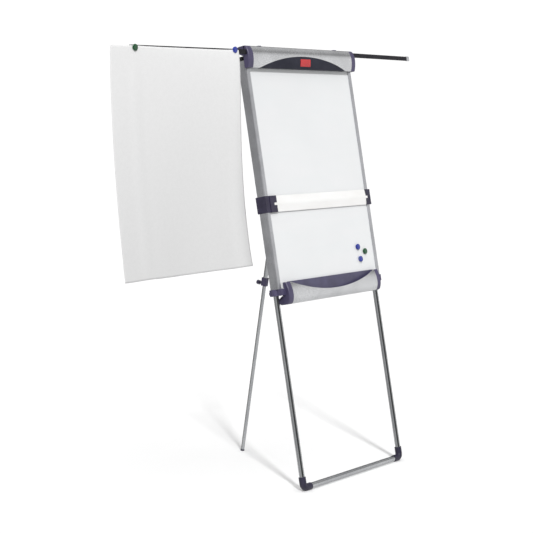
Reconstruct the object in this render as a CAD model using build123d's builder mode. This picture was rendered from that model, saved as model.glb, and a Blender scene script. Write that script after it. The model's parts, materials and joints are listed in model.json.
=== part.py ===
"""Flipchart easel: a dry-wipe board in two extruded rails on a U-shaped leg frame, with one folding
rear leg, a header that holds the pad, a pen tray, a page bar and two pull-out display arms.

Millimetres. Origin on the floor under the middle of the crossbar; +Z up, the front faces -Y.
The board leans back about X. Places on it are given as x across, s up the lean and n out to the
front, measured from the crossbar's axis.
"""
from build123d import *
from math import cos, hypot, radians, sin, sqrt, tan
import os

os.makedirs("parts", exist_ok=True)

# ---------------------------------------------------------------- driving dimensions
LEAN = 11.4                 # lean of the board from the vertical, degrees
WIDTH = 700                 # over the two rails
FLOOR_GAP = 13.5            # crossbar axis above the floor
FIT = 0.3                   # gap left between pieces that move past each other

TUBE_R = 11                 # leg tube
CROSSBAR_R = 12
TUBE_WALL = 1.5
LEG_X = 336                 # leg axis from the middle
LEG_TOP = 1060              # upper end of the leg tubes, inside the rails
ELBOW_R = 14.5
ELBOW_REACH = 44            # sleeve length along the leg and along the crossbar
ELBOW_BEND = 17

RAIL_W = 28
RAIL_REAR = -13.4
RAIL_FRONT = 27.6
RAIL_FOOT = 803
RAIL_TOP = 1730
LIP_W = 20                  # front lip that holds the panel's edge
FLANGE_W = 18               # inner flange behind the panel
FLANGE_N = (10, 13)

PANEL_W = 675
PANEL_N = (14, 24.6)
PANEL_S = (804, 1743)
SHEET_T = 0.6               # steel face and back sheets of the panel

CASE_WALL = 2               # wall of the curved extrusion used for header and tray
CASE_H = 90
CASE_FRONT = 57             # how far the curve stands out in front
CASE_BULGE = 52             # height of the fullest part of the curve above the open edge
CASE_LIP = 46               # how far its open edge stands out
BROW_R = 60                 # radius above the bulge
LOBE_R = 15
LOBE_N = 9
ARCH_HALF = 286             # half width of the arched cut-out
ARCH_RISE = 51
HEADER_S = 1697             # lower (open) edge of the header
HEADER_HALF = 329
HEADER_END = 358
TRAY_S = 827                # upper (open) edge of the tray
TRAY_HALF = 289
TRAY_END = 315

ARM_H = 19
ARM_T = 5
ARM_LEN = 690
ARM_TIP = 22
LEFT_ARM = (-350, 1759.5, 46)   # where each arm's axis crosses the end of the board
RIGHT_ARM = (350, 1770.5, 36)
LEFT_DROOP = 0.5            # sag of the pulled-out arms, degrees
RIGHT_DROOP = 0.3
LEFT_ARM_END = -984         # outer end of each bar as it is pulled out, without its tip
RIGHT_ARM_END = 784

BAR_S = 1145                # middle of the page bar
BAR_H = 66
BRACKET_H = 67
BAR_PIN_X = -298
BAR_PIN_N = 32

REAR_FOOT_Y = 616
HINGE_S = 1650
HINGE_N = -33
HINGE_R = 4
REAR_TUBE_R = 9.5
REAR_ROD_R = 7.8
REAR_CLAMP_AT = 860         # clamp's middle, down the leg from the hinge
MAGNET_R = 12.5
MAGNET_H = 8
HOOK_X = 251
HOOK_TRAVEL = 30
CLAMP_ROD = (36, 1741)      # n and s of the pad clamp's rod
CLAMP_HALF = 212

SHEET_X = (-1107, -416)     # paper sheet on the left arm
SHEET_FALL = ((296, 1758), (288, 1530), (274, 1330), (254, 1140), (228, 1000), (196, 893))
SHEET_THICK = 0.6

# ---------------------------------------------------------------- datum planes
BOARD = Plane(origin=(0, 0, FLOOR_GAP), x_dir=(1, 0, 0),
              z_dir=(0, -cos(radians(LEAN)), sin(radians(LEAN))))
UP_LEAN = Vector(0, sin(radians(LEAN)), cos(radians(LEAN)))


def on_board(x, s, n):
    """World place of a point of the board."""
    return BOARD.from_local_coords(Vector(x, s, n))


def front_plane(n, x=0, s=0):
    """Sketch plane parallel to the board's face: x across, y up the lean, extruded to the front."""
    return Plane(origin=on_board(x, s, n), x_dir=(1, 0, 0), z_dir=BOARD.z_dir)


def side_plane(x):
    """Sketch plane across the board at x: drawn in (n, s), extruded towards -X."""
    return Plane(origin=on_board(x, 0, 0), x_dir=BOARD.z_dir, z_dir=(-1, 0, 0))


def section_plane(s, x=0, n=0):
    """Sketch plane square to the lean at s: drawn in (x, -n), extruded up the lean."""
    return Plane(origin=on_board(x, s, n), x_dir=(1, 0, 0), z_dir=UP_LEAN)


def finish(part, label):
    part.label = label
    export_step(part, f"parts/{label}.step")


def box_between(x, s, n, mode=Mode.ADD):
    """A block given by its ranges of x, s and n, added to the part that is being built."""
    with BuildSketch(front_plane(n[0])) as block:
        with Locations(((x[0] + x[1]) / 2, (s[0] + s[1]) / 2)):
            Rectangle(x[1] - x[0], s[1] - s[0])
    extrude(block.sketch, amount=n[1] - n[0], mode=mode)


def tube_along(plane, radius, length, wall=TUBE_WALL):
    """A round tube that starts on a plane and runs along its normal."""
    with BuildSketch(plane) as ring:
        Circle(radius)
        Circle(radius - wall, mode=Mode.SUBTRACT)
    extrude(ring.sketch, amount=length)


def rod_along(plane, radius, length, mode=Mode.ADD):
    with BuildSketch(plane) as disc:
        Circle(radius)
    extrude(disc.sketch, amount=length, mode=mode)


SIDES = (("left", -1), ("right", 1))

# ---------------------------------------------------------------- leg frame
for name, side in SIDES:
    with BuildPart() as leg_tube:
        tube_along(section_plane(ELBOW_BEND, side * LEG_X), TUBE_R, LEG_TOP - ELBOW_BEND)
    finish(leg_tube.part, f"leg_tube_{name}")

    with BuildPart() as leg_plug:
        rod_along(section_plane(LEG_TOP - 22, side * LEG_X), TUBE_R - TUBE_WALL, 22)
        rod_along(section_plane(LEG_TOP, side * LEG_X), TUBE_R - 0.5, 4)
        fillet(leg_plug.edges().sort_by(Axis(on_board(0, 0, 0), UP_LEAN))[-1], 1.2)
    finish(leg_plug.part, f"leg_plug_{name}")

    # bent sleeve of the corner: down the leg, round the bend, in along the crossbar
    with BuildPart() as elbow:
        with BuildLine(BOARD) as route:
            FilletPolyline((side * LEG_X, ELBOW_REACH), (side * LEG_X, 0),
                           (side * (LEG_X - ELBOW_REACH), 0), radius=ELBOW_BEND)
        with BuildSketch(section_plane(ELBOW_REACH, side * LEG_X)):
            Circle(ELBOW_R)
        sweep(path=route.line)
        rod_along(section_plane(ELBOW_BEND, side * LEG_X), TUBE_R, ELBOW_REACH, mode=Mode.SUBTRACT)
        rod_along(side_plane(side * (LEG_X - ELBOW_BEND) if side > 0 else -LEG_X + ELBOW_BEND + 90),
                  CROSSBAR_R, 90, mode=Mode.SUBTRACT)
        # flat underside that stands on the floor
        split(bisect_by=Plane.XY, keep=Keep.TOP)
    finish(elbow.part, f"foot_elbow_{name}")

with BuildPart() as crossbar:
    tube_along(side_plane(LEG_X - ELBOW_BEND), CROSSBAR_R, 2 * (LEG_X - ELBOW_BEND))
finish(crossbar.part, "crossbar")

# ---------------------------------------------------------------- side rails
for name, side in SIDES:
    outer = WIDTH / 2
    with BuildPart() as rail:
        with BuildSketch(section_plane(RAIL_FOOT)):
            with Locations((side * (outer - RAIL_W / 2), -(RAIL_REAR + RAIL_FRONT) / 2)):
                RectangleRounded(RAIL_W, RAIL_FRONT - RAIL_REAR, 2)
            with Locations((side * (outer - RAIL_W - FLANGE_W / 2 + 1), -sum(FLANGE_N) / 2)):
                Rectangle(FLANGE_W + 2, FLANGE_N[1] - FLANGE_N[0])
            with Locations((side * LEG_X, 0)):
                Circle(TUBE_R + FIT, mode=Mode.SUBTRACT)
            # slot for the panel's edge, and the part of the front wall inboard of the lip
            with Locations((side * (PANEL_W / 2 - 10 + 0.3), -(PANEL_N[0] + PANEL_N[1]) / 2)):
                Rectangle(20, PANEL_N[1] - PANEL_N[0] + 0.2, mode=Mode.SUBTRACT)
            with Locations((side * (outer - LIP_W - 10), -RAIL_FRONT)):
                Rectangle(20, 6.4, mode=Mode.SUBTRACT)
            # shallow groove along the front outer corner
            with Locations((side * outer, -(RAIL_FRONT - 8))):
                Rectangle(1.6, 2, mode=Mode.SUBTRACT)
        extrude(amount=RAIL_TOP - RAIL_FOOT)
    finish(rail.part, f"side_rail_{name}")

    with BuildPart() as rail_plug:
        x_range = sorted((side * (outer - RAIL_W), side * outer))
        with BuildSketch(side_plane(x_range[1])):
            with BuildLine():
                Polyline((RAIL_REAR + 6, RAIL_TOP), (RAIL_FRONT, RAIL_TOP), (RAIL_FRONT, RAIL_TOP + 13.6),
                         (RAIL_FRONT - 6.6, RAIL_TOP + 17), (RAIL_REAR + 6, RAIL_TOP + 17),
                         (RAIL_REAR + 6, RAIL_TOP))
            make_face()
        extrude(amount=RAIL_W)
        box_between((x_range[0] - 1, x_range[1] + 1), (RAIL_TOP, PANEL_S[1] + 0.4),
                    (PANEL_N[0] - 0.2, PANEL_N[1] + 0.2), mode=Mode.SUBTRACT)
        rod_along(section_plane(RAIL_TOP - 26, side * LEG_X), TUBE_R, 27)
    finish(rail_plug.part, f"rail_plug_{name}")

# ---------------------------------------------------------------- board panel
with BuildPart() as board_back:
    box_between((-PANEL_W / 2, PANEL_W / 2), PANEL_S, (PANEL_N[0], PANEL_N[0] + SHEET_T))
finish(board_back.part, "board_back")
with BuildPart() as board_core:
    box_between((-PANEL_W / 2, PANEL_W / 2), PANEL_S, (PANEL_N[0] + SHEET_T, PANEL_N[1] - SHEET_T))
finish(board_core.part, "board_core")
with BuildPart() as board_face:
    box_between((-PANEL_W / 2, PANEL_W / 2), PANEL_S, (PANEL_N[1] - SHEET_T, PANEL_N[1]))
finish(board_face.part, "board_face")

# ---------------------------------------------------------------- cross members and screws
MEMBER_H = 40
MEMBER_N = (-4, FLANGE_N[0])
MEMBER_HALF = WIDTH / 2 - RAIL_W - 0.2
MEMBERS = (("top", HINGE_S), ("bottom", 850))
SCREW_R = 2
SCREW_X = 312
CASE_SCREW_X = 200


def screw_places(s):
    """Screws of one cross member: into each rail's flange and the case's rear wall."""
    return [(x, s + ds) for x in (-SCREW_X, -CASE_SCREW_X, CASE_SCREW_X, SCREW_X) for ds in (-12, 12)]


for name, mid in MEMBERS:
    with BuildPart() as member:
        with BuildSketch(side_plane(MEMBER_HALF)):
            with Locations((sum(MEMBER_N) / 2, mid)):
                Rectangle(MEMBER_N[1] - MEMBER_N[0], MEMBER_H)
                Rectangle(MEMBER_N[1] - MEMBER_N[0] - 3, MEMBER_H - 3, mode=Mode.SUBTRACT)
        extrude(amount=2 * MEMBER_HALF)
        with BuildSketch(front_plane(MEMBER_N[0] - 1)):
            with Locations(*screw_places(mid)):
                Circle(SCREW_R + 0.1)
        extrude(amount=MEMBER_N[1] - MEMBER_N[0] + 2, mode=Mode.SUBTRACT)
    finish(member.part, f"cross_member_{name}")

with BuildPart() as frame_screws:
    for name, mid in MEMBERS:
        with BuildSketch(front_plane(MEMBER_N[0])):
            with Locations(*screw_places(mid)):
                Circle(SCREW_R)
        extrude(amount=FLANGE_N[0] - MEMBER_N[0])
        with BuildSketch(front_plane(MEMBER_N[0] - 2.4)):
            with Locations(*screw_places(mid)):
                Circle(4)
        extrude(amount=2.4)
    slots = front_plane(MEMBER_N[0] - 3)
    with BuildSketch(slots):
        for name, mid in MEMBERS:
            with Locations(*screw_places(mid)):
                Rectangle(5, 1)
                Rectangle(1, 5)
    extrude(amount=1.8, mode=Mode.SUBTRACT)
finish(frame_screws.part, "frame_screws")


# ---------------------------------------------------------------- header and tray profile
class Case:
    """The curved profile in (n, s): open edge at s = edge, growing up (+1) or down (-1) the lean."""

    def __init__(self, edge, grow, shift=0):
        self.edge = edge
        self.grow = grow
        self.shift = shift

    def at(self, n, u):
        return (n + self.shift, self.edge + self.grow * u)

    def outline(self, inset=0):
        """Closed outline, or its parallel `inset` inside: front curve, round lobe, sloping back, flat rear."""
        grow = self.grow
        rear = RAIL_FRONT + 0.2 - self.shift + inset
        radius = (hypot(CASE_FRONT - CASE_LIP, CASE_BULGE) ** 2) / (2 * (CASE_FRONT - CASE_LIP))
        lip = CASE_FRONT - radius + sqrt((radius - inset) ** 2 - (CASE_BULGE - inset) ** 2)
        front = TangentArc(self.at(CASE_FRONT - inset, CASE_BULGE), self.at(lip, inset), tangent=(0, -grow))
        brow = JernArc(front @ 0, (0, grow), BROW_R - inset, grow * 30)
        crown = JernArc(brow @ 1, brow % 1, 2 * (CASE_H - CASE_BULGE - BROW_R / 2) - inset, grow * 60)
        Line(crown @ 1, self.at(LOBE_N, CASE_H - inset))
        back = CenterArc(self.at(LOBE_N, CASE_H - LOBE_R), LOBE_R - inset, grow * 90, grow * 150)
        # the sloping back leaves the lobe at 30 degrees, tangent to it
        slope = tan(radians(30))
        drop = (back @ 1).Y - grow * slope * (rear + self.shift - (back @ 1).X)
        Polyline(back @ 1, (rear + self.shift, drop), self.at(rear, inset), front @ 1)


HEADER = Case(HEADER_S, 1)
TRAY = Case(TRAY_S, -1, shift=-3)


def arch_block(case, mode):
    """The arch in the front of the case, cut out of the part that is built or kept as its only part."""
    tip = case.edge - case.grow * 6
    with BuildSketch(front_plane(RAIL_FRONT + 5)) as opening:
        with BuildLine():
            arc = ThreePointArc((-ARCH_HALF, case.edge), (0, case.edge + case.grow * ARCH_RISE),
                                (ARCH_HALF, case.edge))
            Polyline(arc @ 1, (ARCH_HALF, tip), (-ARCH_HALF, tip), arc @ 0)
        make_face()
    extrude(opening.sketch, amount=40, mode=mode)


def case_wall(case, half, inset=0, wall=CASE_WALL):
    """The extruded wall: bulging front, closed end and rear lobe, between -half and half."""
    with BuildSketch(side_plane(half)) as ring:
        with BuildLine():
            case.outline(inset)
        make_face()
        with BuildLine():
            case.outline(inset + wall)
        make_face(mode=Mode.SUBTRACT)
    extrude(ring.sketch, amount=2 * half)


REAR_WALL_HALF = WIDTH / 2 - RAIL_W - FLANGE_W - 0.5
WEDGE = 53                  # from the open edge to the wedge between lobe and rail end


def case_rear_wall(low, high, half):
    """Flat rear wall of the case, behind the panel and against a cross member."""
    box_between((-half, half), (low, high), FLANGE_N)


def arm_plane(arm, outward=0):
    """Plane across an arm, `outward` along its drooping axis: drawn in (n, up), extruded outwards."""
    side = 1 if arm[0] > 0 else -1
    droop = radians(RIGHT_DROOP if arm[0] > 0 else LEFT_DROOP)
    axis = Vector(side * cos(droop), 0, 0) - UP_LEAN * sin(droop)
    return Plane(origin=on_board(*arm) + axis * outward, x_dir=BOARD.z_dir * side, z_dir=axis)


def arm_channels():
    """Clear way for both arms through a cap or a guide, over their whole travel."""
    for arm in (LEFT_ARM, RIGHT_ARM):
        with BuildSketch(arm_plane(arm, -720)) as way:
            Rectangle(ARM_T + 0.8, ARM_H + 0.8)
        extrude(way.sketch, amount=780, mode=Mode.SUBTRACT)


# ---------------------------------------------------------------- header
with BuildPart() as header_shell:
    case_wall(HEADER, HEADER_HALF)
    box_between((-HEADER_HALF - 1, HEADER_HALF + 1), (HEADER_S + CASE_WALL, HEADER_S + WEDGE),
                (0, RAIL_FRONT + 5), mode=Mode.SUBTRACT)
    case_rear_wall(HINGE_S - MEMBER_H / 2, HEADER_S + WEDGE + 5, REAR_WALL_HALF)
    arch_block(HEADER, Mode.SUBTRACT)
    # slots in the top for the two pad hooks
    for x in (-HOOK_X, HOOK_X):
        box_between((x - 10 - HOOK_TRAVEL, x + 10 + HOOK_TRAVEL),
                    (HEADER_S + CASE_H - 3, HEADER_S + CASE_H + 1), (25.6, 29.9), mode=Mode.SUBTRACT)
finish(header_shell.part, "header_shell")

# dark insert that fills the arch flush, on a backing strip behind the shell's edge
with BuildPart() as insert_backing:
    case_wall(HEADER, ARCH_HALF + 12, inset=CASE_WALL + 0.1)
    box_between((-ARCH_HALF - 12, ARCH_HALF + 12), (HEADER_S, HEADER_S + ARCH_RISE + 7),
                (RAIL_FRONT + 5, CASE_FRONT + 2), mode=Mode.INTERSECT)
with BuildPart() as header_insert:
    case_wall(HEADER, ARCH_HALF + 1, wall=CASE_WALL + 0.2)
    arch_block(HEADER, Mode.INTERSECT)
    add(insert_backing.part)
finish(header_insert.part, "header_insert")

# plain badge plate, bent to sit on the insert's curve
BADGE_W = 66
BADGE_H = 30
BADGE_T = 1.2
with BuildPart() as header_solid:
    with BuildSketch(side_plane(100)):
        with BuildLine():
            HEADER.outline()
        make_face()
    extrude(amount=200)
with BuildPart() as header_badge:
    with BuildSketch(side_plane(5 + BADGE_W / 2)):
        with BuildLine():
            HEADER.outline(-BADGE_T)
        make_face()
    extrude(amount=BADGE_W)
    with BuildSketch(front_plane(CASE_LIP - 5)):
        with Locations((5, HEADER_S + 25)):
            RectangleRounded(BADGE_W, BADGE_H, 3)
    extrude(amount=20, mode=Mode.INTERSECT)
    add(header_solid.part, mode=Mode.SUBTRACT)
finish(header_badge.part, "header_badge")


def end_cap(case, inner, outer, pocket=True, ribbed=False):
    """Moulded end cap over the case's profile, hollow inside, with a rounded outer rim."""
    side = 1 if outer > 0 else -1
    low, high = sorted((inner, outer))
    with BuildSketch(side_plane(high)) as block:
        with BuildLine():
            case.outline()
        make_face()
    extrude(block.sketch, amount=high - low)
    # round the rim along the front, the closed end and the lobe
    closed = case.edge + case.grow * CASE_H
    rim = faces().sort_by(Axis.X)[-1 if side > 0 else 0].edges()
    chamfer([e for e in rim if e.geom_type != GeomType.LINE
             or abs(BOARD.to_local_coords(e.center()).Y - closed) < 1], 2.5)
    if ribbed:
        # two shallow recesses leave a rib up the middle of the outer face
        with BuildSketch(side_plane(high if side > 0 else low + 1.5)) as recess:
            with BuildLine():
                case.outline(7)
            make_face()
            with Locations((case.shift + 24, case.edge + case.grow * CASE_H / 2)):
                Rectangle(9, CASE_H, mode=Mode.SUBTRACT)
        extrude(recess.sketch, amount=1.5, mode=Mode.SUBTRACT)
    if pocket:
        with BuildSketch(side_plane(high - (3 if side > 0 else 0))) as hollow:
            with BuildLine():
                case.outline(3)
            make_face()
        extrude(hollow.sketch, amount=high - low - 3, mode=Mode.SUBTRACT)


for name, side in SIDES:
    with BuildPart() as header_cap:
        end_cap(HEADER, side * HEADER_HALF, side * HEADER_END)
        arm_channels()
    finish(header_cap.part, f"header_cap_{name}")

# guide plates just inside the header's ends, with a slot for each arm
with BuildPart() as arm_guides:
    for x in (-300, 306):
        with BuildSketch(side_plane(x)):
            with BuildLine():
                HEADER.outline(CASE_WALL + 0.3)
            make_face()
        extrude(amount=6)
    box_between((-320, 320), (HEADER_S, HEADER_S + WEDGE), (-20, CASE_FRONT + 1), mode=Mode.SUBTRACT)
    arm_channels()
finish(arm_guides.part, "arm_guides")

# ---------------------------------------------------------------- pad hooks and pad clamp
for name, side in SIDES:
    with BuildPart() as pad_hook:
        x = side * HOOK_X
        box_between((x - 8, x + 8), (HEADER_S + 18, HEADER_S + CASE_H + 1.5), (26.2, 29.3))
        with BuildSketch(section_plane(HEADER_S + CASE_H + 0.3, x, 26)):
            SlotOverall(26, 15)
        extrude(amount=3.6)
        fillet(pad_hook.edges().sort_by(Axis(on_board(0, 0, 0), UP_LEAN))[-4:], 1.4)
        rod_along(front_plane(29, x, HEADER_S + 26), 3.5, 12)
        chamfer(pad_hook.edges().sort_by(Axis(on_board(0, 0, 0), BOARD.z_dir))[-1], 0.8)
    finish(pad_hook.part, f"pad_hook_{name}")

with BuildPart() as clamp_rod:
    with BuildSketch(side_plane(226)):
        with Locations(CLAMP_ROD):
            Circle(3)
    extrude(amount=452)
    for x in (-222, 226):
        box_between((x - 4, x), (CLAMP_ROD[1] - 5, CLAMP_ROD[1] + 5), (CLAMP_ROD[0] - 5, 51.9))
finish(clamp_rod.part, "clamp_rod")

with BuildPart() as pad_clamp:
    n, s = CLAMP_ROD
    with BuildSketch(side_plane(CLAMP_HALF)):
        with BuildLine():
            Polyline((n - 2, s - 5.1), (n - 8, s - 24), (n - 9, s - 34), (n - 5, s - 38), (n - 3, s - 37),
                     (n - 6.5, s - 33), (n - 6, s - 24), (n + 1, s - 5.1), (n - 2, s - 5.1))
        make_face()
    extrude(amount=2 * CLAMP_HALF)
    for x in (CLAMP_HALF, 25, -CLAMP_HALF + 50):
        with BuildSketch(side_plane(x)):
            with Locations((n, s)):
                Circle(5.5)
        extrude(amount=50)
    with BuildSketch(side_plane(CLAMP_HALF + 1)):
        with Locations((n, s)):
            Circle(3.06)
    extrude(amount=2 * CLAMP_HALF + 2, mode=Mode.SUBTRACT)
finish(pad_clamp.part, "pad_clamp")

# close-wound torsion springs round the rod
with BuildPart() as clamp_springs:
    for x in (-78, 104):
        for turn in range(9):
            with BuildSketch(side_plane(x - turn * 2.4)):
                with Locations(CLAMP_ROD):
                    Circle(4.9)
                    Circle(3.3, mode=Mode.SUBTRACT)
            extrude(amount=2)
finish(clamp_springs.part, "clamp_springs")

# ---------------------------------------------------------------- pen tray
with BuildPart() as tray_shell:
    case_wall(TRAY, TRAY_HALF)
    # open top between the rear wall and the front edge
    box_between((-TRAY_HALF - 1, TRAY_HALF + 1), (TRAY_S - 3, TRAY_S + 1),
                (RAIL_FRONT + 0.2 + CASE_WALL, CASE_LIP - 4), mode=Mode.SUBTRACT)
    case_rear_wall(TRAY_S - WEDGE - 2, 850 + MEMBER_H / 2, TRAY_HALF)
    arch_block(TRAY, Mode.SUBTRACT)
finish(tray_shell.part, "tray_shell")

with BuildPart() as tray_liner:
    rear = RAIL_FRONT + 0.2 + CASE_WALL
    with BuildSketch(side_plane(TRAY_HALF - 0.1)):
        with BuildLine():
            Polyline((rear - 2.1, TRAY_S + 1.4), (rear + 2, TRAY_S + 1.4), (rear + 2, TRAY_S - 55),
                     (rear + 8, TRAY_S - 60), (43, TRAY_S - 60), (51, TRAY_S - 54), (51, TRAY_S - 57),
                     (44, TRAY_S - 62), (rear + 7, TRAY_S - 62), (rear, TRAY_S - 56), (rear, TRAY_S + 0.1),
                     (rear - 2.1, TRAY_S + 0.1), (rear - 2.1, TRAY_S + 1.4))
        make_face()
    extrude(amount=2 * TRAY_HALF - 0.2)
finish(tray_liner.part, "tray_liner")

for name, side in SIDES:
    with BuildPart() as tray_cap:
        end_cap(TRAY, side * TRAY_HALF, side * TRAY_END, ribbed=True)
    finish(tray_cap.part, f"tray_cap_{name}")

# ---------------------------------------------------------------- leg clamps under the rails
COLLAR_S = (776, RAIL_FOOT)
LEG_SCREW_S = 788
for name, side in SIDES:
    with BuildPart() as collar:
        with BuildSketch(section_plane(COLLAR_S[0], side * LEG_X)):
            Circle(17.5)
            with Locations((side * -5, -22)):
                Rectangle(24, 30)
            with Locations((side * -16.5, -24)):
                Rectangle(9, 22)
            with Locations((0, 17)):
                Rectangle(22, 10)
            Circle(TUBE_R + FIT, mode=Mode.SUBTRACT)
        extrude(amount=COLLAR_S[1] - COLLAR_S[0])
        chamfer(collar.edges().group_by(Axis(on_board(0, 0, 0), UP_LEAN))[0], 1)
        rod_along(front_plane(-23, side * LEG_X, LEG_SCREW_S), 3.1, 16, mode=Mode.SUBTRACT)
    finish(collar.part, f"leg_clamp_{name}")

    with BuildPart() as leg_screw:
        rod_along(front_plane(-24, side * LEG_X, LEG_SCREW_S), 2.8, 12.4)
        with BuildSketch(front_plane(-27.4, side * LEG_X, LEG_SCREW_S)):
            Circle(9)
            with PolarLocations(9.6, 8):
                Circle(1.8, mode=Mode.SUBTRACT)
        extrude(amount=5)
    finish(leg_screw.part, f"leg_clamp_screw_{name}")

# ---------------------------------------------------------------- rear leg
HINGE = on_board(0, HINGE_S, HINGE_N)
REAR_FOOT = Vector(0, REAR_FOOT_Y, 0)
REAR_LENGTH = (REAR_FOOT - HINGE).length
DOWN_LEG = (REAR_FOOT - HINGE).normalized()
UPPER_END = REAR_CLAMP_AT + 8


def leg_plane(distance, back=0):
    """Plane square to the rear leg, drawn in (x, front), extruded down the leg."""
    middle = Plane(origin=HINGE + DOWN_LEG * distance, x_dir=(1, 0, 0), z_dir=DOWN_LEG)
    return Plane(origin=middle.from_local_coords((0, -back, 0)), x_dir=(1, 0, 0), z_dir=DOWN_LEG)


def leg_back_plane(distance, back):
    """Plane behind the rear leg, facing backwards."""
    origin = leg_plane(distance, back).origin
    return Plane(origin=origin, x_dir=(1, 0, 0), z_dir=-leg_plane(0).y_dir)


with BuildPart() as hinge_bracket:
    box_between((-30, 30), (HINGE_S - 18, HINGE_S + 18), (MEMBER_N[0] - 3, MEMBER_N[0]))
    for x in (16.6, -13.6):
        with BuildSketch(side_plane(x)):
            with BuildLine():
                Polyline((MEMBER_N[0] - 2, HINGE_S - 16), (HINGE_N, HINGE_S - 12), (HINGE_N, HINGE_S + 12),
                         (MEMBER_N[0] - 2, HINGE_S + 16), (MEMBER_N[0] - 2, HINGE_S - 16))
            make_face()
            with Locations((HINGE_N, HINGE_S)):
                Circle(12)
        extrude(amount=3)
    with BuildSketch(side_plane(20)):
        with Locations((HINGE_N, HINGE_S)):
            Circle(HINGE_R)
    extrude(amount=40, mode=Mode.SUBTRACT)
finish(hinge_bracket.part, "hinge_bracket")

with BuildPart() as hinge_pin:
    with BuildSketch(side_plane(17)):
        with Locations((HINGE_N, HINGE_S)):
            Circle(HINGE_R)
    extrude(amount=34)
    for x in (20, -17):
        with BuildSketch(side_plane(x)):
            with Locations((HINGE_N, HINGE_S)):
                Circle(6.5)
        extrude(amount=3)
finish(hinge_pin.part, "hinge_pin")

with BuildPart() as rear_knuckle:
    with BuildSketch(side_plane(13.2)):
        with Locations((HINGE_N, HINGE_S)):
            Circle(12)
    extrude(amount=26.4)
    # heel that meets the bracket and stops the leg from opening further
    box_between((-13.2, 13.2), (HINGE_S + 4, HINGE_S + 11), (HINGE_N, MEMBER_N[0] - 3.3))
    with BuildSketch(leg_plane(0)):
        RectangleRounded(26.4, 22, 2)
    extrude(amount=30)
    rod_along(leg_plane(29), REAR_TUBE_R - 1.2, 34)
    with BuildSketch(side_plane(20)):
        with Locations((HINGE_N, HINGE_S)):
            Circle(HINGE_R + 0.06)
    extrude(amount=40, mode=Mode.SUBTRACT)
finish(rear_knuckle.part, "rear_knuckle")

with BuildPart() as rear_leg_upper:
    tube_along(leg_plane(30), REAR_TUBE_R, UPPER_END - 30, wall=1.2)
finish(rear_leg_upper.part, "rear_leg_upper")

SCREW_AT = REAR_CLAMP_AT + 13
with BuildPart() as rear_clamp:
    with BuildSketch(leg_plane(REAR_CLAMP_AT - 15)):
        with Locations((0, -1)):
            RectangleRounded(22, 26, 4)
    extrude(amount=36)
    rod_along(leg_plane(REAR_CLAMP_AT - 16), REAR_TUBE_R, UPPER_END - REAR_CLAMP_AT + 16, mode=Mode.SUBTRACT)
    rod_along(leg_plane(REAR_CLAMP_AT), REAR_ROD_R + FIT, 40, mode=Mode.SUBTRACT)
    rod_along(leg_back_plane(SCREW_AT, 14), 5, 6)
    rod_along(leg_back_plane(SCREW_AT, 4), 2.8, 20, mode=Mode.SUBTRACT)
finish(rear_clamp.part, "rear_clamp")

with BuildPart() as rear_screw:
    rod_along(leg_back_plane(SCREW_AT, REAR_ROD_R + 0.4), 2.5, 22)
    with BuildSketch(leg_back_plane(SCREW_AT, 27)):
        Circle(9.5)
        with PolarLocations(10.2, 8):
            Circle(2, mode=Mode.SUBTRACT)
    extrude(amount=14)
finish(rear_screw.part, "rear_clamp_screw")

with BuildPart() as rear_leg_lower:
    tube_along(leg_plane(740), REAR_ROD_R, REAR_LENGTH - 748, wall=1.2)
finish(rear_leg_lower.part, "rear_leg_lower")

with BuildPart() as rear_foot:
    rod_along(leg_plane(REAR_LENGTH - 40), REAR_ROD_R - 1.2, 34)
    rod_along(leg_plane(REAR_LENGTH - 8), REAR_ROD_R + 0.6, 12)
    split(bisect_by=Plane.XY, keep=Keep.TOP)
finish(rear_foot.part, "rear_foot")

# ---------------------------------------------------------------- display arms
for name, arm, end in (("left", LEFT_ARM, LEFT_ARM_END), ("right", RIGHT_ARM, RIGHT_ARM_END)):
    reach = abs(end - arm[0])
    with BuildPart() as arm_bar:
        with BuildSketch(arm_plane(arm, reach - ARM_LEN)):
            RectangleRounded(ARM_T, ARM_H, 1)
        extrude(amount=ARM_LEN)
    finish(arm_bar.part, f"arm_{name}")
    with BuildPart() as arm_tip:
        with BuildSketch(arm_plane(arm, reach)):
            RectangleRounded(ARM_T + 3, ARM_H + 2, 3)
        extrude(amount=ARM_TIP)
        chamfer(arm_tip.faces().sort_by(Axis.X)[-1 if arm[0] > 0 else 0].edges(), 1.2)
    finish(arm_tip.part, f"arm_tip_{name}")

# ---------------------------------------------------------------- sheet and magnets
with BuildPart() as paper_sheet:
    fall = Plane(origin=(SHEET_X[0], 0, 0), x_dir=(0, 1, 0), z_dir=(1, 0, 0))
    with BuildSketch(fall):
        with BuildLine():
            front = Spline(*[(y - SHEET_THICK, z) for y, z in SHEET_FALL])
            rear = Spline(*SHEET_FALL)
            Line(front @ 0, rear @ 0)
            Line(front @ 1, rear @ 1)
        make_face()
    extrude(amount=SHEET_X[1] - SHEET_X[0])
finish(paper_sheet.part, "paper_sheet")


def magnet_on(plane):
    """Round moulded magnet: a broad rim, a slight waist and a low crown."""
    with BuildSketch(Plane(origin=plane.origin, x_dir=plane.x_dir, z_dir=-plane.y_dir)) as half:
        with BuildLine():
            Polyline((0, 0), (MAGNET_R - 1, 0), (MAGNET_R - 1.2, 2), (MAGNET_R, 3.2), (MAGNET_R, MAGNET_H - 2))
            crown = Spline((MAGNET_R, MAGNET_H - 2), (MAGNET_R - 1.5, MAGNET_H - 0.5), (0, MAGNET_H),
                           tangents=((0, 1), (-1, 0)))
            Line(crown @ 1, (0, 0))
        make_face()
    revolve(half.sketch, axis=Axis(plane.origin, plane.z_dir))


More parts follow.
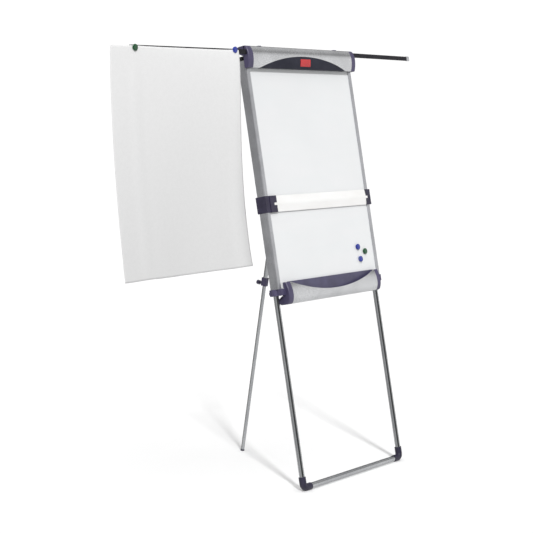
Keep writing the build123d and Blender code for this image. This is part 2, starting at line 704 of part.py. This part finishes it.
ARM_MAGNETS = (("green", -991, 1741.5), ("blue", -439, 1752))
for colour, x, z in ARM_MAGNETS:
    with BuildPart() as arm_magnet:
        magnet_on(Plane(origin=(x, SHEET_FALL[0][0] - SHEET_THICK - 1, z), x_dir=(1, 0, 0),
                        z_dir=(0, -1, 0)))
    finish(arm_magnet.part, f"arm_magnet_{colour}")

BOARD_MAGNETS = (("upper", 218, 933), ("middle", 265, 911), ("lower", 226, 880))
for name, x, s in BOARD_MAGNETS:
    with BuildPart() as board_magnet:
        magnet_on(front_plane(PANEL_N[1] + FIT, x, s))
    finish(board_magnet.part, f"board_magnet_{name}")

# ---------------------------------------------------------------- page bar and its rail brackets
HALF = WIDTH / 2
NOTCH_H = 12
LOW = BAR_S - BRACKET_H / 2
HIGH = BAR_S + BRACKET_H / 2


def rail_grip(side):
    """Hook that wraps a rail: side wall, rear return lip and front wall."""
    box_between(sorted((side * (HALF + FIT), side * (HALF + 5))), (LOW, HIGH),
                (RAIL_REAR - 4, RAIL_FRONT + 6))
    box_between(sorted((side * (HALF - 14), side * (HALF + 2))), (LOW, HIGH),
                (RAIL_REAR - 4, RAIL_REAR - FIT))
    box_between(sorted((side * (HALF - 28), side * (HALF + 5))), (LOW, HIGH),
                (RAIL_FRONT + FIT, RAIL_FRONT + 6))


with BuildPart() as bracket_left:
    rail_grip(-1)
    box_between((-HALF + 20, BAR_PIN_X + 10.5), (LOW, HIGH), (RAIL_FRONT + FIT, BAR_PIN_N + 4))
    fillet(bracket_left.edges().filter_by(Axis(on_board(0, 0, 0), UP_LEAN)).sort_by(Axis.X)[-2:], 3)
    # notch that takes the bar's hinge tongue
    box_between((BAR_PIN_X - 9, BAR_PIN_X + 12), (BAR_S - NOTCH_H / 2, BAR_S + NOTCH_H / 2), (20, 40),
                mode=Mode.SUBTRACT)
    rod_along(section_plane(LOW - 1, BAR_PIN_X, BAR_PIN_N), 2, BRACKET_H + 2, mode=Mode.SUBTRACT)
finish(bracket_left.part, "bar_bracket_left")

with BuildPart() as bracket_right:
    rail_grip(1)
    # notch, open to the front, where the bar's free end clips in
    box_between((HALF - 30, HALF - 14), (BAR_S - NOTCH_H / 2, BAR_S + NOTCH_H / 2), (20, 40),
                mode=Mode.SUBTRACT)
finish(bracket_right.part, "bar_bracket_right")

with BuildPart() as bar_pin:
    rod_along(section_plane(LOW + 4, BAR_PIN_X, BAR_PIN_N), 2, BRACKET_H - 8)
finish(bar_pin.part, "bar_pin")

with BuildPart() as page_bar:
    # shallow roof section with a ridge along the middle
    back = BAR_PIN_N - 2.5
    with BuildSketch(side_plane(HALF - 30)):
        with BuildLine():
            Polyline((back, BAR_S - BAR_H / 2), (back + 1.8, BAR_S - BAR_H / 2), (back + 5.5, BAR_S - 3),
                     (back + 5.5, BAR_S + 3), (back + 1.8, BAR_S + BAR_H / 2), (back, BAR_S + BAR_H / 2),
                     (back + 2.8, BAR_S), (back, BAR_S - BAR_H / 2))
        make_face()
    extrude(amount=HALF - 30 - (BAR_PIN_X + 11.3))
    # tongues at both ends
    box_between((BAR_PIN_X, BAR_PIN_X + 14), (BAR_S - 5, BAR_S + 5), (BAR_PIN_N - 2.5, BAR_PIN_N + 3))
    rod_along(section_plane(BAR_S - 5, BAR_PIN_X, BAR_PIN_N), 4, 10)
    box_between((HALF - 33, HALF - 18), (BAR_S - 5, BAR_S + 5), (BAR_PIN_N - 1, BAR_PIN_N + 3))
    rod_along(section_plane(BAR_S - 8, BAR_PIN_X, BAR_PIN_N), 2.06, 16, mode=Mode.SUBTRACT)
finish(page_bar.part, "page_bar")
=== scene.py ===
"""Looks of the flipchart easel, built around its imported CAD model. Metres; the front faces -Y."""

import json
import math

import bmesh
import bpy
from mathutils import Matrix, Vector, noise


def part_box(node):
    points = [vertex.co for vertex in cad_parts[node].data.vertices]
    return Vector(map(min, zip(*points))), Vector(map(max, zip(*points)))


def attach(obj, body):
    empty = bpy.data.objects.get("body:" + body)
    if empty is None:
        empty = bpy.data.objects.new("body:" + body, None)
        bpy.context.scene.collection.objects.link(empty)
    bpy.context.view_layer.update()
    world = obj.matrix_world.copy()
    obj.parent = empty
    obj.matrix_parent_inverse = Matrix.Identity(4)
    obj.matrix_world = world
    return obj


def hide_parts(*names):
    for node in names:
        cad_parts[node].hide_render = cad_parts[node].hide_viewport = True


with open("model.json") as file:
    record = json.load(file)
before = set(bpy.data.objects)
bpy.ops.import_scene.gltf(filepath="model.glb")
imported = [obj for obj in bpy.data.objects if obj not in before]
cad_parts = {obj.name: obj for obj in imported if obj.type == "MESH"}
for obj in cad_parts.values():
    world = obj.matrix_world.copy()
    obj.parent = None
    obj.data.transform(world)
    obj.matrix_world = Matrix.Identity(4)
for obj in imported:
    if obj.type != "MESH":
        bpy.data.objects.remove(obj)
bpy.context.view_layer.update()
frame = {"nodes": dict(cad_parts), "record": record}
NODES = frame["nodes"]
LEAN = math.radians(11.4)       # how far the board leans back
MM = 0.001


# ---------------------------------------------------------------- camera
CAMERA_AT = Vector((-4.6172, -3.3744, 1.5420))
CAMERA_FORWARD = Vector((0.76203, 0.63708, -0.11593))
CAMERA_UP = Vector((0.08294, 0.08154, 0.99321))


def place_camera():
    """Camera 1.5 m up at the front left, looking slightly down through a long lens."""
    forward = CAMERA_FORWARD.normalized()
    right = forward.cross(CAMERA_UP).normalized()
    up = right.cross(forward)
    data = bpy.data.cameras.new("camera")
    data.sensor_width = 36
    data.lens = 94.2
    data.clip_end = 60
    camera = bpy.data.objects.new("camera", data)
    camera.matrix_world = Matrix((
        (right.x, up.x, -forward.x, CAMERA_AT.x),
        (right.y, up.y, -forward.y, CAMERA_AT.y),
        (right.z, up.z, -forward.z, CAMERA_AT.z),
        (0, 0, 0, 1)))
    bpy.context.scene.collection.objects.link(camera)
    bpy.context.scene.camera = camera


# ---------------------------------------------------------------- lights
SUNLIGHT = Vector((0.46, 0.65, -0.60))      # the way the sunlight travels
SUN_ANGLE = math.radians(6)
OBJECT_SUN = 2.05
FLOOR_SUN = 2.2
BACKDROP = 1.05                 # white that the camera sees behind everything
FLOOR_SHADERS = ("leg_tube", "crossbar", "foot_elbow", "rear_")

# glows of the room: direction, cosines where it starts and where it is full, brightness outside and inside
GLOWS = (
    ((0, 0, 1), 0.30, 0.90, 0.07, 1.00),            # ceiling
    ((0, 0, -1), 0.06, 0.35, 0.0, 0.80),            # light thrown up by the floor
    ((0.85, -0.53, 0), 0.84, 0.96, 0.0, 0.95),      # screen at the front right
    ((-0.96, -0.26, 0), 0.80, 0.97, 0.0, 0.60),     # screen on the left
    ((-0.76, 0.64, 0), 0.70, 0.97, 0.0, 0.40),      # screen at the back left
)


def sun(name, energy, pieces, state, blockers=()):
    """Sun that lights only the pieces ("INCLUDE") or all but them ("EXCLUDE").

    Everything shades it, unless blockers are given: then only they do.
    """
    data = bpy.data.lights.new(name, "SUN")
    data.energy = energy
    data.angle = SUN_ANGLE
    lamp = bpy.data.objects.new(name, data)
    lamp.rotation_euler = SUNLIGHT.to_track_quat("-Z", "Y").to_euler()
    bpy.context.scene.collection.objects.link(lamp)
    lit = bpy.data.collections.new(name + "_lit")
    for piece in pieces:
        lit.objects.link(piece)
    for entry in lit.collection_objects:
        entry.light_linking.link_state = state
    lamp.light_linking.receiver_collection = lit
    if blockers:
        shading = bpy.data.collections.new(name + "_shaded_by")
        for piece in blockers:
            shading.objects.link(piece)
        lamp.light_linking.blocker_collection = shading


def studio(floor_piece):
    """Sun from the front left in a dark room with glows; only the legs shade the floor."""
    legs = [NODES[part["node"]] for part in frame["record"]["subparts"]
            if part["node"].startswith(FLOOR_SHADERS)]
    sun("key", OBJECT_SUN, [floor_piece], "EXCLUDE")
    sun("floor_key", FLOOR_SUN, [floor_piece], "INCLUDE", legs)
    world = bpy.data.worlds.new("studio")
    bpy.context.scene.world = world
    world.use_nodes = True
    tree = world.node_tree
    tree.nodes.clear()
    new, link = tree.nodes.new, tree.links.new
    coords = new("ShaderNodeTexCoord")

    def glow(direction, start, end, low, high):
        """Brightness that goes from low to high as the view turns towards a direction."""
        dot = new("ShaderNodeVectorMath")
        dot.operation = "DOT_PRODUCT"
        dot.inputs[1].default_value = direction
        ramp = new("ShaderNodeMapRange")
        ramp.interpolation_type = "SMOOTHSTEP"
        for name, value in (("From Min", start), ("From Max", end), ("To Min", low), ("To Max", high)):
            ramp.inputs[name].default_value = value
        link(coords.outputs["Generated"], dot.inputs[0])
        link(dot.outputs["Value"], ramp.inputs["Value"])
        return ramp.outputs["Result"]

    def brighter(one, other):
        """The larger of two brightnesses."""
        node = new("ShaderNodeMath")
        node.operation = "MAXIMUM"
        link(one, node.inputs[0])
        link(other, node.inputs[1])
        return node.outputs[0]

    total = glow(*GLOWS[0])
    for values in GLOWS[1:]:
        total = brighter(total, glow(*values))
    room = new("ShaderNodeBackground")
    room.inputs["Strength"].default_value = 1.0
    link(total, room.inputs["Color"])
    plain = new("ShaderNodeBackground")
    plain.inputs["Color"].default_value = (1, 1, 1, 1)
    plain.inputs["Strength"].default_value = BACKDROP
    rays = new("ShaderNodeLightPath")
    mix = new("ShaderNodeMixShader")
    out = new("ShaderNodeOutputWorld")
    link(rays.outputs["Is Camera Ray"], mix.inputs["Fac"])
    link(room.outputs[0], mix.inputs[1])
    link(plain.outputs[0], mix.inputs[2])
    link(mix.outputs[0], out.inputs["Surface"])
    bpy.context.scene.view_settings.view_transform = "Standard"


# ---------------------------------------------------------------- materials
def linear(hexa):
    """An sRGB colour such as "8090a0" as linear RGBA."""
    out = []
    for i in (0, 2, 4):
        v = int(hexa[i:i + 2], 16) / 255
        out.append(v / 12.92 if v <= 0.04045 else ((v + 0.055) / 1.055) ** 2.4)
    return (*out, 1)


class Finish:
    """A procedural material in real size: colour patches, a fine grain and directional streaks."""

    def __init__(self, name, **sockets):
        self.material = bpy.data.materials.new(name)
        self.material.use_nodes = True
        self.tree = self.material.node_tree
        self.shader = self.tree.nodes["Principled BSDF"]
        self.coords = self.tree.nodes.new("ShaderNodeTexCoord")
        for key, value in sockets.items():
            self.shader.inputs[key.replace("_", " ")].default_value = value

    def new(self, kind, **inputs):
        """A node with some of its inputs set."""
        node = self.tree.nodes.new("ShaderNode" + kind)
        for key, value in inputs.items():
            node.inputs[key.replace("_", " ")].default_value = value
        return node

    def link(self, a, b):
        self.tree.links.new(a, b)

    def field(self, size, stretch=(1, 1, 1), turn=0.0, detail=3.0, rough=0.55):
        """Noise whose blobs are `size` metres, drawn out by `stretch` along axes turned about X."""
        mapping = self.new("Mapping")
        mapping.vector_type = "TEXTURE" if turn else "POINT"
        if turn:
            mapping.inputs["Rotation"].default_value = (-turn, 0, 0)
            mapping.inputs["Scale"].default_value = [size * s for s in stretch]
        else:
            mapping.inputs["Scale"].default_value = [1 / (size * s) for s in stretch]
        cloud = self.new("TexNoise", Scale=1.0, Detail=detail, Roughness=rough)
        self.link(self.coords.outputs["Object"], mapping.inputs["Vector"])
        self.link(mapping.outputs["Vector"], cloud.inputs["Vector"])
        return cloud.outputs["Fac"]

    def spread(self, value, low, high, lo=0.35, hi=0.65):
        """Maps the middle of a noise onto low..high."""
        node = self.new("MapRange")
        for key, v in (("From Min", lo), ("From Max", hi), ("To Min", low), ("To Max", high)):
            node.inputs[key].default_value = v
        self.link(value, node.inputs["Value"])
        return node.outputs["Result"]

    def tint(self, value, dark, light, lo=0.35, hi=0.65):
        """Base colour between two tones; a second call multiplies onto the first."""
        mix = self.new("Mix")
        mix.data_type = "RGBA"
        self.link(self.spread(value, 0, 1, lo, hi), mix.inputs["Factor"])
        mix.inputs["A"].default_value = linear(dark)
        mix.inputs["B"].default_value = linear(light)
        base = self.shader.inputs["Base Color"]
        before = base.links[0].from_socket if base.links else None
        colour = mix.outputs["Result"]
        if before:
            times = self.new("Mix")
            times.data_type = "RGBA"
            times.blend_type = "MULTIPLY"
            times.inputs["Factor"].default_value = 1
            self.link(before, times.inputs["A"])
            self.link(colour, times.inputs["B"])
            colour = times.outputs["Result"]
        self.link(colour, base)
        return self

    def gloss(self, value, low, high):
        """Roughness between two values."""
        self.link(self.spread(value, low, high), self.shader.inputs["Roughness"])
        return self

    def relief(self, value, depth):
        """Bump of `depth` metres, stacked on what is there."""
        bump = self.new("Bump", Strength=1.0, Distance=depth)
        self.link(value, bump.inputs["Height"])
        normal = self.shader.inputs["Normal"]
        if normal.links:
            self.link(normal.links[0].from_socket, bump.inputs["Normal"])
        self.link(bump.outputs["Normal"], normal)
        return self

    def cells(self, size):
        """Irregular cells, for flakes and pebbled grain."""
        mapping = self.new("Mapping")
        mapping.inputs["Scale"].default_value = (1 / size,) * 3
        grain = self.new("TexVoronoi", Scale=1.0)
        self.link(self.coords.outputs["Object"], mapping.inputs["Vector"])
        self.link(mapping.outputs["Vector"], grain.inputs["Vector"])
        return grain.outputs["Distance"]


def moulded(name, dark, light, rough=(0.38, 0.5), grain=0.7 * MM, depth=0.035 * MM, **sockets):
    """Moulded plastic: pebbled grain, slight colour drift and rubbed patches."""
    f = Finish(name, **sockets)
    f.tint(f.field(60 * MM), dark, light)
    f.tint(f.field(1.2 * MM, detail=2), "e6e6e6", "ffffff")
    f.gloss(f.field(18 * MM, detail=5), *rough)
    f.relief(f.cells(grain), depth)
    return f.relief(f.field(25 * MM, detail=1), 0.15 * MM).material


def drawn_metal(name, dark, light, stretch, turn, rough):
    """Anodised or plated metal with fine lines along its length."""
    f = Finish(name, Metallic=1.0)
    lines = f.field(0.25 * MM, stretch, turn, detail=4, rough=0.7)
    f.tint(f.field(90 * MM, detail=4), dark, light)
    f.tint(lines, "dcdcdc", "ffffff", 0.3, 0.7)
    f.gloss(lines, *rough)
    f.relief(lines, 0.008 * MM)
    return f.relief(f.field(40 * MM, detail=1), 0.05 * MM).material


def coated(name, dark, light, rough, metallic):
    """Silver coat: metal flakes under an orange-peel skin."""
    f = Finish(name, Metallic=metallic)
    f.tint(f.field(120 * MM, detail=4), dark, light)
    f.tint(f.cells(0.5 * MM), "d2d2d2", "ffffff", 0.1, 0.7)
    f.gloss(f.field(6 * MM, detail=4), *rough)
    return f.relief(f.field(1.6 * MM, detail=2), 0.012 * MM).material


def enamel():
    """White dry-wipe enamel with the faint haze of wiped ink."""
    f = Finish("board_enamel", Coat_Weight=0.3, Coat_Roughness=0.15, IOR=1.5)
    wipes = f.field(60 * MM, (4.0, 1, 1.2), LEAN, detail=2, rough=0.5)
    f.tint(f.field(320 * MM, detail=2), "ebeced", "eeeff0")
    f.tint(wipes, "fdfefe", "ffffff")
    f.gloss(wipes, 0.285, 0.30)
    return f.relief(f.field(3 * MM, detail=2), 0.006 * MM).material


PAPER_SHADE_HEIGHTS = (0.85, 1.75)       # heights between which painted shade turns the paper from greyer at its foot to whiter at its top


def paper():
    """Uncoated paper: cloudy fibres and a fine tooth, with painted shade that makes it greyer towards its
    foot.
    """
    f = Finish("paper", Specular_IOR_Level=0.25)
    # painted shade: the base colour is greyer low on the sheet and whiter high up, standing in for the light
    # falling off towards the foot
    height = f.new("SeparateXYZ")
    f.link(f.coords.outputs["Object"], height.inputs[0])
    f.tint(height.outputs["Z"], "e0e0e0", "f7f7f7", *PAPER_SHADE_HEIGHTS)
    f.tint(f.field(14 * MM, detail=5, rough=0.7), "f8f8f8", "fbfbfb")
    f.tint(f.field(0.5 * MM, (1, 1, 2.5), detail=3), "fafafa", "ffffff")
    f.gloss(f.field(5 * MM), 0.78, 0.92)
    f.relief(f.field(0.45 * MM, detail=4, rough=0.7), 0.012 * MM)
    return f.relief(f.field(60 * MM, detail=2), 0.2 * MM).material


def frosted():
    """Frosted, nearly white plastic of the page bar."""
    f = Finish("frosted_bar", Specular_IOR_Level=0.5)
    f.tint(f.field(80 * MM, (3, 1, 1)), "f4f3f1", "fbfbfa")
    f.gloss(f.field(2 * MM, (6, 1, 1), LEAN), 0.32, 0.45)
    return f.relief(f.field(0.6 * MM, (8, 1, 1), LEAN), 0.01 * MM).material


def fibre():
    """Pressed wood fibre of the board's core."""
    f = Finish("fibre_core", Roughness=0.9)
    f.tint(f.field(2.5 * MM, (3, 1, 1), detail=6, rough=0.8), "8c7350", "b89a70")
    return f.relief(f.field(0.6 * MM, detail=4), 0.1 * MM).material


ALONG_X = (60, 1, 1)
ALONG_LEAN = (1, 1, 60)

MATERIALS = {
    "rail_aluminium": drawn_metal("rail_anodised", "c2c3c7", "d2d3d7", ALONG_LEAN, LEAN, (0.26, 0.38)),
    "leg_silver": coated("leg_coat", "b9bbbe", "c9cbcd", (0.14, 0.22), 1.0),
    "case_silver": drawn_metal("case_anodised", "dadbdd", "e9eaec", ALONG_X, 0, (0.22, 0.32)),
    "navy_plastic": moulded("navy_plastic", "4b4663", "565070"),
    "navy_insert": moulded("navy_insert", "292a37", "31323f", (0.42, 0.55), depth=0.015 * MM,
                           Specular_IOR_Level=0.2),
    "tray_blue": moulded("tray_blue", "494662", "565372", (0.30, 0.42), depth=0.015 * MM),
    "black_plastic": moulded("black_plastic", "17171b", "222228"),
    "badge_red": moulded("badge_red", "c80a16", "da1420", (0.18, 0.26), depth=0.004 * MM, Coat_Weight=0.4),
    "board_white": enamel(),
    "board_zinc": coated("zinc_primer", "9b9ea2", "adb0b4", (0.45, 0.6), 0.4),
    "board_fibre": fibre(),
    "zinc_steel": drawn_metal("zinc_plate", "a9a8a0", "c4c6c8", (6, 6, 6), 0, (0.26, 0.5)),
    "spring_steel": drawn_metal("spring_wire", "6c6d72", "85868c", (20, 1, 1), 0, (0.22, 0.4)),
    "bar_clear": frosted(),
    "bracket_grey": moulded("bracket_plastic", "2e2a40", "3b364f"),
    "arm_navy": moulded("arm_coat", "1c1b22", "26242b", (0.4, 0.52), 0.5 * MM, 0.012 * MM,
                        Specular_IOR_Level=0.25),
    "arm_silver": drawn_metal("arm_end", "cfd0d4", "e2e3e6", (20, 1, 1), 0, (0.22, 0.34)),
    "magnet_blue": moulded("magnet_blue", "1b2f94", "2339a6", (0.2, 0.32), depth=0.006 * MM, Coat_Weight=0.3),
    "magnet_green": moulded("magnet_green", "12502c", "186036", (0.2, 0.32), depth=0.006 * MM,
                            Coat_Weight=0.3),
    "paper": paper(),
    "rubber_foot": moulded("foot_plastic", "28253a", "343046", (0.36, 0.5)),
}


def dress_nodes():
    """Every CAD node takes the material of its slot in the record."""
    for part in frame["record"]["subparts"]:
        for place in NODES[part["node"]].material_slots:
            place.material = MATERIALS[part["material_slot"]]


# ---------------------------------------------------------------- pieces
def mesh_piece(name, bm, slot, body):
    """Turns a bmesh into a smooth piece that rides on a body."""
    mesh = bpy.data.meshes.new(name)
    bm.to_mesh(mesh)
    bm.free()
    piece = bpy.data.objects.new(name, mesh)
    bpy.context.scene.collection.objects.link(piece)
    mesh.materials.append(MATERIALS[slot])
    for face in mesh.polygons:
        face.use_smooth = True
    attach(piece, body)
    return piece


SHEET_W = 0.700
SHEET_L = 0.858
SHEET_CELLS = (94, 116)         # across and down
SHEET_T = 0.25 * MM
SHEET_PAST = 0.008              # reach past the CAD plate on the left
SHEET_INSET = 0.0032            # set forwards from the CAD plate's rear at the top edge
SHEET_TOP = (1.7480, 1.7520)    # height of the top edge at the left and at the right
TOP_SAG = 0.0016                # of the top edge away from the magnets
LEFT_CURL = (0.180, 0.85)       # factor and power of the fall, for the slope of each edge
RIGHT_CURL = (0.36, 2.317)
RIGHT_KICK = (0.2167, 0.06)     # first lean forwards at the right edge, and the fall in which it fades
FOLD = 0.007                    # slope of the folds below the magnets
WAVE = 0.008                    # slope of one wide wave across the sheet
BAND = 0.012                    # slope of the band beside the right edge
LIP = 0.02                      # slope of the lip along the top edge
UNEVEN = 0.010                  # slope of the random unevenness
SLOPE_LIMITS = (-0.2, 0.6)


def bell(value, middle, width):
    """Smooth bump of height 1 around the middle."""
    return math.exp(-((value - middle) / width) ** 2)


def sheet_slope(x, u, v, magnets, free):
    """How far the paper runs forwards per metre that it falls, at shares u across and v down."""
    drop = SHEET_L * v
    left = LEFT_CURL[0] * drop ** LEFT_CURL[1]
    right = RIGHT_KICK[0] * math.exp(-drop / RIGHT_KICK[1]) + RIGHT_CURL[0] * drop ** RIGHT_CURL[1]
    slope = left * (1 - u) + right * u
    for magnet in magnets:
        # soft folds that widen downwards and die out
        d = (x - magnet) / (0.05 + 0.16 * v)
        slope += FOLD * bell(d, 0, 1) * math.cos(4.2 * d) * math.exp(-4.5 * v)
    slope += WAVE * math.sin(2 * math.pi * (u * 1.15 + 0.12)) * math.sin(math.pi * v)
    slope += BAND * bell(u, 0.93, 0.06) * math.sin(math.pi * v)
    slope += LIP * free * (math.exp(-v / 0.02) - bell(v, 0.045, 0.02))
    slope += UNEVEN * noise.noise(Vector((x * 7, v * 5, 3.1)))
    return max(SLOPE_LIMITS[0], min(SLOPE_LIMITS[1], slope))


def hung_sheet():
    """The paper that hangs from the two arm magnets: taut at its top, curling forwards to its foot."""
    across, down = SHEET_CELLS
    low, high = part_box("paper_sheet")
    magnets = [(sum(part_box(n), Vector()) / 2).x for n in ("arm_magnet_green", "arm_magnet_blue")]
    step = SHEET_L / down
    bm = bmesh.new()
    grid = []
    for i in range(across + 1):
        u = i / across
        x = low.x - SHEET_PAST + u * SHEET_W
        free = 1 - bell(min(abs(x - m) for m in magnets), 0, 0.05)
        y = high.y - SHEET_INSET
        z = SHEET_TOP[0] + (SHEET_TOP[1] - SHEET_TOP[0]) * u - TOP_SAG * free
        column = []
        for j in range(down + 1):
            column.append(bm.verts.new((x, y, z)))
            lean = math.atan(sheet_slope(x, u, (j + 0.5) / down, magnets, free))
            y -= step * math.sin(lean)
            z -= step * math.cos(lean)
        grid.append(column)
    for i in range(across):
        for j in range(down):
            bm.faces.new((grid[i][j], grid[i][j + 1], grid[i + 1][j + 1], grid[i + 1][j]))
    sheet = mesh_piece("paper", bm, "paper", "sheet")
    thick = sheet.modifiers.new("thickness", "SOLIDIFY")
    thick.thickness = SHEET_T
    thick.offset = 0
    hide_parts("paper_sheet")


def wire_path(name, points, radius, slot, body, sides=10):
    """A wire swept along points, with closed ends."""
    bm = bmesh.new()
    rings = []
    for k, p in enumerate(points):
        a = points[max(k - 1, 0)]
        b = points[min(k + 1, len(points) - 1)]
        along = (b - a).normalized()
        side = along.orthogonal() if k == 0 else (side - along * side.dot(along))
        side.normalize()
        other = along.cross(side)
        rings.append([bm.verts.new(p + (side * math.cos(t) + other * math.sin(t)) * radius)
                      for t in (2 * math.pi * n / sides for n in range(sides))])
    for a, b in zip(rings, rings[1:]):
        for n in range(sides):
            m = (n + 1) % sides
            bm.faces.new((a[n], a[m], b[m], b[n]))
    bm.faces.new(list(reversed(rings[0])))
    bm.faces.new(rings[-1])
    return mesh_piece(name, bm, slot, body)


SPRING_WIRE = 0.8 * MM          # half the wire's thickness
SPRING_R = 4.1 * MM
SPRING_SPAN = 21.2 * MM
SPRING_TURNS = 9
TURN_STEPS = 18


def clamp_springs():
    """The coils of the two torsion springs on the clamp's rod, without their legs."""
    low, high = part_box("clamp_springs")
    centre = Vector((0, (low.y + high.y) / 2, (low.z + high.z) / 2))
    count = SPRING_TURNS * TURN_STEPS
    for name, start in (("spring_left", low.x), ("spring_right", high.x - SPRING_SPAN)):
        points = []
        for k in range(count + 1):
            t = 2 * math.pi * k / TURN_STEPS
            along = start + SPRING_WIRE + (SPRING_SPAN - 2 * SPRING_WIRE) * k / count
            points.append(centre + Vector((along, SPRING_R * math.cos(t), SPRING_R * math.sin(t))))
        spring = wire_path(name, points, SPRING_WIRE, "spring_steel", "board")
        if name == "spring_left":
            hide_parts("clamp_springs")


def floor():
    """Pale floor that reflections and bounced light don't see, because the room has a glow for it."""
    bm = bmesh.new()
    bmesh.ops.create_grid(bm, x_segments=1, y_segments=1, size=30)
    mesh = bpy.data.meshes.new("floor")
    bm.to_mesh(mesh)
    bm.free()
    piece = bpy.data.objects.new("floor", mesh)
    bpy.context.scene.collection.objects.link(piece)
    f = Finish("floor_card", Roughness=0.9, Specular_IOR_Level=0.0, Emission_Color=(1, 1, 1, 1),
               Emission_Strength=0.03)
    f.tint(f.field(900 * MM), "f7f7f7", "fafafa")
    mesh.materials.append(f.material)
    piece.visible_glossy = False
    piece.visible_diffuse = False
    return piece


place_camera()
studio(floor())
dress_nodes()
hung_sheet()
clamp_springs()
